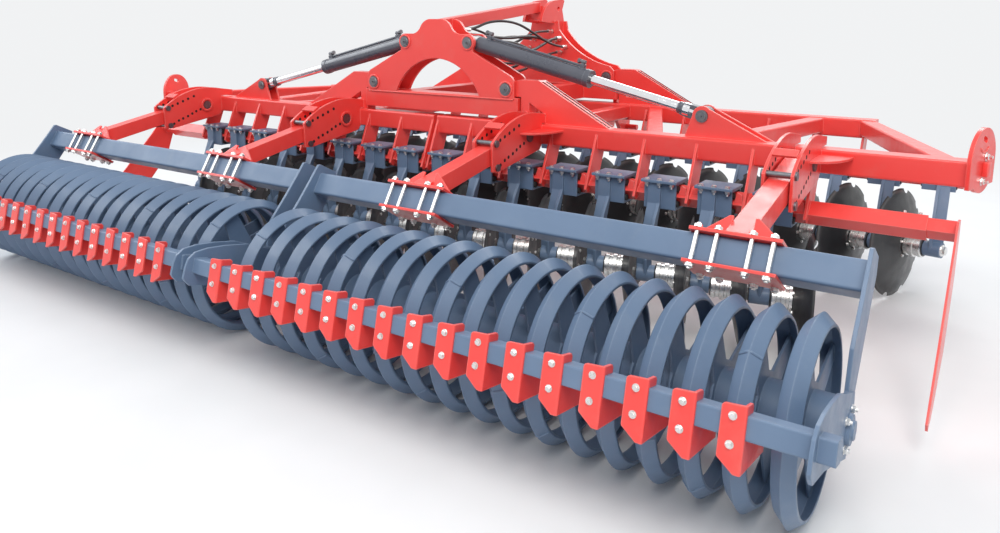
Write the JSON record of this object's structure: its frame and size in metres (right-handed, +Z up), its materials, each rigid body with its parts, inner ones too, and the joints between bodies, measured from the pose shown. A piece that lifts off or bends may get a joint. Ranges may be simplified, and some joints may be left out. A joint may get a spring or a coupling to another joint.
{
  "type": "disc harrow",
  "caption": "Mounted folding disc harrow with two rows of notched discs, a ring roller with scrapers behind each wing and a three-point headstock.",
  "frame": {"origin": "centre of the machine's bounding box, at ground level", "axes": "X across the machine to its right-hand side when looking back from the tractor's seat, Y forward to the tractor, Z up"},
  "size_m": [5.2284, 3.115, 1.545],
  "materials": {
    "red_paint": "gloss red paint",
    "blue_grey_paint": "gloss blue-grey paint",
    "black_paint": "gloss black paint",
    "disc_steel": "satin black paint on boron steel",
    "zinc": "yellowish zinc plating",
    "dark_pins": "blackened steel pins",
    "rod_chrome": "hard chrome",
    "hose_rubber": "black rubber hose"
  },
  "bodies": {
    "centre": {"centre_frame": "red_paint", "hinge_pins": "dark_pins", "hoses": "hose_rubber"},
    "wing_right": {"wing_frame_right": "red_paint", "disc_arms_right": "blue_grey_paint", "wing_pins_right": "dark_pins", "roller_arms_right": "red_paint", "clamp_rods_right": "zinc", "roller_frame_right": "blue_grey_paint", "scrapers_right": "red_paint", "deflector_right": "red_paint"},
    "barrel_right": {"barrel_right": "black_paint"},
    "rod_right": {"rod_right": "rod_chrome"},
    "roller_right": {"roller_right": "blue_grey_paint"},
    "wing_left": {"wing_frame_left": "red_paint", "disc_arms_left": "blue_grey_paint", "wing_pins_left": "dark_pins", "roller_arms_left": "red_paint", "clamp_rods_left": "zinc", "roller_frame_left": "blue_grey_paint", "scrapers_left": "red_paint", "deflector_left": "red_paint"},
    "barrel_left": {"barrel_left": "black_paint"},
    "rod_left": {"rod_left": "rod_chrome"},
    "roller_left": {"roller_left": "blue_grey_paint"},
    "disc_front_left_1": {"disc_front_left_1": "disc_steel"},
    "disc_front_left_2": {"disc_front_left_2": "disc_steel"},
    "disc_front_left_3": {"disc_front_left_3": "disc_steel"},
    "disc_front_left_4": {"disc_front_left_4": "disc_steel"},
    "disc_front_left_5": {"disc_front_left_5": "disc_steel"},
    "disc_front_left_6": {"disc_front_left_6": "disc_steel"},
    "disc_front_left_7": {"disc_front_left_7": "disc_steel"},
    "disc_front_left_8": {"disc_front_left_8": "disc_steel"},
    "disc_front_left_9": {"disc_front_left_9": "disc_steel"},
    "disc_front_right_1": {"disc_front_right_1": "disc_steel"},
    "disc_front_right_10": {"disc_front_right_10": "disc_steel"},
    "disc_front_right_2": {"disc_front_right_2": "disc_steel"},
    "disc_front_right_3": {"disc_front_right_3": "disc_steel"},
    "disc_front_right_4": {"disc_front_right_4": "disc_steel"},
    "disc_front_right_5": {"disc_front_right_5": "disc_steel"},
    "disc_front_right_6": {"disc_front_right_6": "disc_steel"},
    "disc_front_right_7": {"disc_front_right_7": "disc_steel"},
    "disc_front_right_8": {"disc_front_right_8": "disc_steel"},
    "disc_front_right_9": {"disc_front_right_9": "disc_steel"},
    "disc_rear_left_1": {"disc_rear_left_1": "disc_steel"},
    "disc_rear_left_2": {"disc_rear_left_2": "disc_steel"},
    "disc_rear_left_3": {"disc_rear_left_3": "disc_steel"},
    "disc_rear_left_4": {"disc_rear_left_4": "disc_steel"},
    "disc_rear_left_5": {"disc_rear_left_5": "disc_steel"},
    "disc_rear_left_6": {"disc_rear_left_6": "disc_steel"},
    "disc_rear_left_7": {"disc_rear_left_7": "disc_steel"},
    "disc_rear_left_8": {"disc_rear_left_8": "disc_steel"},
    "disc_rear_right_1": {"disc_rear_right_1": "disc_steel"},
    "disc_rear_right_2": {"disc_rear_right_2": "disc_steel"},
    "disc_rear_right_3": {"disc_rear_right_3": "disc_steel"},
    "disc_rear_right_4": {"disc_rear_right_4": "disc_steel"},
    "disc_rear_right_5": {"disc_rear_right_5": "disc_steel"},
    "disc_rear_right_6": {"disc_rear_right_6": "disc_steel"},
    "disc_rear_right_7": {"disc_rear_right_7": "disc_steel"},
    "disc_rear_right_8": {"disc_rear_right_8": "disc_steel"}
  },
  "joints": [
    {"name": "fold_right", "type": "hinge", "parent": "centre", "child": "wing_right", "pos_m": [0.464, 0.1315, 1.048], "axis": [0, -1, 0], "range_deg": [0, 90]},
    {"name": "barrel_right_swing", "type": "hinge", "parent": "centre", "child": "barrel_right", "pos_m": [0.219, 0.1315, 1.283], "axis": [0, -1, 0], "range_deg": [0, 82.1]},
    {"name": "rod_right_slide", "type": "slide", "parent": "barrel_right", "child": "rod_right", "axis": [0.9732, 0, -0.2299], "range_m": [-0.457, 0]},
    {"name": "roller_right_turn", "type": "hinge", "parent": "wing_right", "child": "roller_right", "pos_m": [1.2, -1.0985, 0.3], "axis": [1, 0, 0], "continuous": true},
    {"name": "fold_left", "type": "hinge", "parent": "centre", "child": "wing_left", "pos_m": [-0.464, 0.1315, 1.048], "axis": [0, 1, 0], "range_deg": [0, 90]},
    {"name": "barrel_left_swing", "type": "hinge", "parent": "centre", "child": "barrel_left", "pos_m": [-0.219, 0.1315, 1.283], "axis": [0, 1, 0], "range_deg": [0, 82.1]},
    {"name": "rod_left_slide", "type": "slide", "parent": "barrel_left", "child": "rod_left", "axis": [-0.9732, 0, -0.2299], "range_m": [-0.457, 0]},
    {"name": "roller_left_turn", "type": "hinge", "parent": "wing_left", "child": "roller_left", "pos_m": [-1.2, -1.0985, 0.3], "axis": [1, 0, 0], "continuous": true},
    {"name": "disc_front_left_1_turn", "type": "hinge", "parent": "wing_left", "child": "disc_front_left_1", "pos_m": [-0.29, 1.0695, 0.27983], "axis": [0.9557, -0.2922, 0.0349], "continuous": true},
    {"name": "disc_front_left_2_turn", "type": "hinge", "parent": "wing_left", "child": "disc_front_left_2", "pos_m": [-0.54, 1.0695, 0.27983], "axis": [0.9557, -0.2922, 0.0349], "continuous": true},
    {"name": "disc_front_left_3_turn", "type": "hinge", "parent": "wing_left", "child": "disc_front_left_3", "pos_m": [-0.79, 1.0695, 0.27983], "axis": [0.9557, -0.2922, 0.0349], "continuous": true},
    {"name": "disc_front_left_4_turn", "type": "hinge", "parent": "wing_left", "child": "disc_front_left_4", "pos_m": [-1.04, 1.0695, 0.27983], "axis": [0.9557, -0.2922, 0.0349], "continuous": true},
    {"name": "disc_front_left_5_turn", "type": "hinge", "parent": "wing_left", "child": "disc_front_left_5", "pos_m": [-1.29, 1.0695, 0.27983], "axis": [0.9557, -0.2922, 0.0349], "continuous": true},
    {"name": "disc_front_left_6_turn", "type": "hinge", "parent": "wing_left", "child": "disc_front_left_6", "pos_m": [-1.54, 1.0695, 0.27983], "axis": [0.9557, -0.2922, 0.0349], "continuous": true},
    {"name": "disc_front_left_7_turn", "type": "hinge", "parent": "wing_left", "child": "disc_front_left_7", "pos_m": [-1.79, 1.0695, 0.27983], "axis": [0.9557, -0.2922, 0.0349], "continuous": true},
    {"name": "disc_front_left_8_turn", "type": "hinge", "parent": "wing_left", "child": "disc_front_left_8", "pos_m": [-2.04, 1.0695, 0.27983], "axis": [0.9557, -0.2922, 0.0349], "continuous": true},
    {"name": "disc_front_left_9_turn", "type": "hinge", "parent": "wing_left", "child": "disc_front_left_9", "pos_m": [-2.29, 1.0695, 0.27983], "axis": [0.9557, -0.2922, 0.0349], "continuous": true},
    {"name": "disc_front_right_1_turn", "type": "hinge", "parent": "wing_right", "child": "disc_front_right_1", "pos_m": [-0.04, 1.0695, 0.27983], "axis": [0.9557, -0.2922, 0.0349], "continuous": true},
    {"name": "disc_front_right_10_turn", "type": "hinge", "parent": "wing_right", "child": "disc_front_right_10", "pos_m": [2.21, 1.0695, 0.27983], "axis": [0.9557, -0.2922, 0.0349], "continuous": true},
    {"name": "disc_front_right_2_turn", "type": "hinge", "parent": "wing_right", "child": "disc_front_right_2", "pos_m": [0.21, 1.0695, 0.27983], "axis": [0.9557, -0.2922, 0.0349], "continuous": true},
    {"name": "disc_front_right_3_turn", "type": "hinge", "parent": "wing_right", "child": "disc_front_right_3", "pos_m": [0.46, 1.0695, 0.27983], "axis": [0.9557, -0.2922, 0.0349], "continuous": true},
    {"name": "disc_front_right_4_turn", "type": "hinge", "parent": "wing_right", "child": "disc_front_right_4", "pos_m": [0.71, 1.0695, 0.27983], "axis": [0.9557, -0.2922, 0.0349], "continuous": true},
    {"name": "disc_front_right_5_turn", "type": "hinge", "parent": "wing_right", "child": "disc_front_right_5", "pos_m": [0.96, 1.0695, 0.27983], "axis": [0.9557, -0.2922, 0.0349], "continuous": true},
    {"name": "disc_front_right_6_turn", "type": "hinge", "parent": "wing_right", "child": "disc_front_right_6", "pos_m": [1.21, 1.0695, 0.27983], "axis": [0.9557, -0.2922, 0.0349], "continuous": true},
    {"name": "disc_front_right_7_turn", "type": "hinge", "parent": "wing_right", "child": "disc_front_right_7", "pos_m": [1.46, 1.0695, 0.27983], "axis": [0.9557, -0.2922, 0.0349], "continuous": true},
    {"name": "disc_front_right_8_turn", "type": "hinge", "parent": "wing_right", "child": "disc_front_right_8", "pos_m": [1.71, 1.0695, 0.27983], "axis": [0.9557, -0.2922, 0.0349], "continuous": true},
    {"name": "disc_front_right_9_turn", "type": "hinge", "parent": "wing_right", "child": "disc_front_right_9", "pos_m": [1.96, 1.0695, 0.27983], "axis": [0.9557, -0.2922, 0.0349], "continuous": true},
    {"name": "disc_rear_left_1_turn", "type": "hinge", "parent": "wing_left", "child": "disc_rear_left_1", "pos_m": [0.04, -0.0835, 0.27983], "axis": [-0.9557, -0.2922, 0.0349], "continuous": true},
    {"name": "disc_rear_left_2_turn", "type": "hinge", "parent": "wing_left", "child": "disc_rear_left_2", "pos_m": [-0.21, -0.0835, 0.27983], "axis": [-0.9557, -0.2922, 0.0349], "continuous": true},
    {"name": "disc_rear_left_3_turn", "type": "hinge", "parent": "wing_left", "child": "disc_rear_left_3", "pos_m": [-0.46, -0.0835, 0.27983], "axis": [-0.9557, -0.2922, 0.0349], "continuous": true},
    {"name": "disc_rear_left_4_turn", "type": "hinge", "parent": "wing_left", "child": "disc_rear_left_4", "pos_m": [-0.71, -0.0835, 0.27983], "axis": [-0.9557, -0.2922, 0.0349], "continuous": true},
    {"name": "disc_rear_left_5_turn", "type": "hinge", "parent": "wing_left", "child": "disc_rear_left_5", "pos_m": [-0.96, -0.0835, 0.27983], "axis": [-0.9557, -0.2922, 0.0349], "continuous": true},
    {"name": "disc_rear_left_6_turn", "type": "hinge", "parent": "wing_left", "child": "disc_rear_left_6", "pos_m": [-1.21, -0.0835, 0.27983], "axis": [-0.9557, -0.2922, 0.0349], "continuous": true},
    {"name": "disc_rear_left_7_turn", "type": "hinge", "parent": "wing_left", "child": "disc_rear_left_7", "pos_m": [-1.46, -0.0835, 0.27983], "axis": [-0.9557, -0.2922, 0.0349], "continuous": true},
    {"name": "disc_rear_left_8_turn", "type": "hinge", "parent": "wing_left", "child": "disc_rear_left_8", "pos_m": [-1.71, -0.0835, 0.27983], "axis": [-0.9557, -0.2922, 0.0349], "continuous": true},
    {"name": "disc_rear_right_1_turn", "type": "hinge", "parent": "wing_right", "child": "disc_rear_right_1", "pos_m": [0.29, -0.0835, 0.27983], "axis": [-0.9557, -0.2922, 0.0349], "continuous": true},
    {"name": "disc_rear_right_2_turn", "type": "hinge", "parent": "wing_right", "child": "disc_rear_right_2", "pos_m": [0.54, -0.0835, 0.27983], "axis": [-0.9557, -0.2922, 0.0349], "continuous": true},
    {"name": "disc_rear_right_3_turn", "type": "hinge", "parent": "wing_right", "child": "disc_rear_right_3", "pos_m": [0.79, -0.0835, 0.27983], "axis": [-0.9557, -0.2922, 0.0349], "continuous": true},
    {"name": "disc_rear_right_4_turn", "type": "hinge", "parent": "wing_right", "child": "disc_rear_right_4", "pos_m": [1.04, -0.0835, 0.27983], "axis": [-0.9557, -0.2922, 0.0349], "continuous": true},
    {"name": "disc_rear_right_5_turn", "type": "hinge", "parent": "wing_right", "child": "disc_rear_right_5", "pos_m": [1.29, -0.0835, 0.27983], "axis": [-0.9557, -0.2922, 0.0349], "continuous": true},
    {"name": "disc_rear_right_6_turn", "type": "hinge", "parent": "wing_right", "child": "disc_rear_right_6", "pos_m": [1.54, -0.0835, 0.27983], "axis": [-0.9557, -0.2922, 0.0349], "continuous": true},
    {"name": "disc_rear_right_7_turn", "type": "hinge", "parent": "wing_right", "child": "disc_rear_right_7", "pos_m": [1.79, -0.0835, 0.27983], "axis": [-0.9557, -0.2922, 0.0349], "continuous": true},
    {"name": "disc_rear_right_8_turn", "type": "hinge", "parent": "wing_right", "child": "disc_rear_right_8", "pos_m": [2.04, -0.0835, 0.27983], "axis": [-0.9557, -0.2922, 0.0349], "continuous": true}
  ],
  "couplings": [
    {"joint": "barrel_right_swing", "follows": "fold_right", "ratio": 0.9114},
    {"joint": "rod_right_slide", "follows": "fold_right", "m_per_rad": -0.2906},
    {"joint": "barrel_left_swing", "follows": "fold_left", "ratio": 0.9114},
    {"joint": "rod_left_slide", "follows": "fold_left", "m_per_rad": -0.2906}
  ]
}
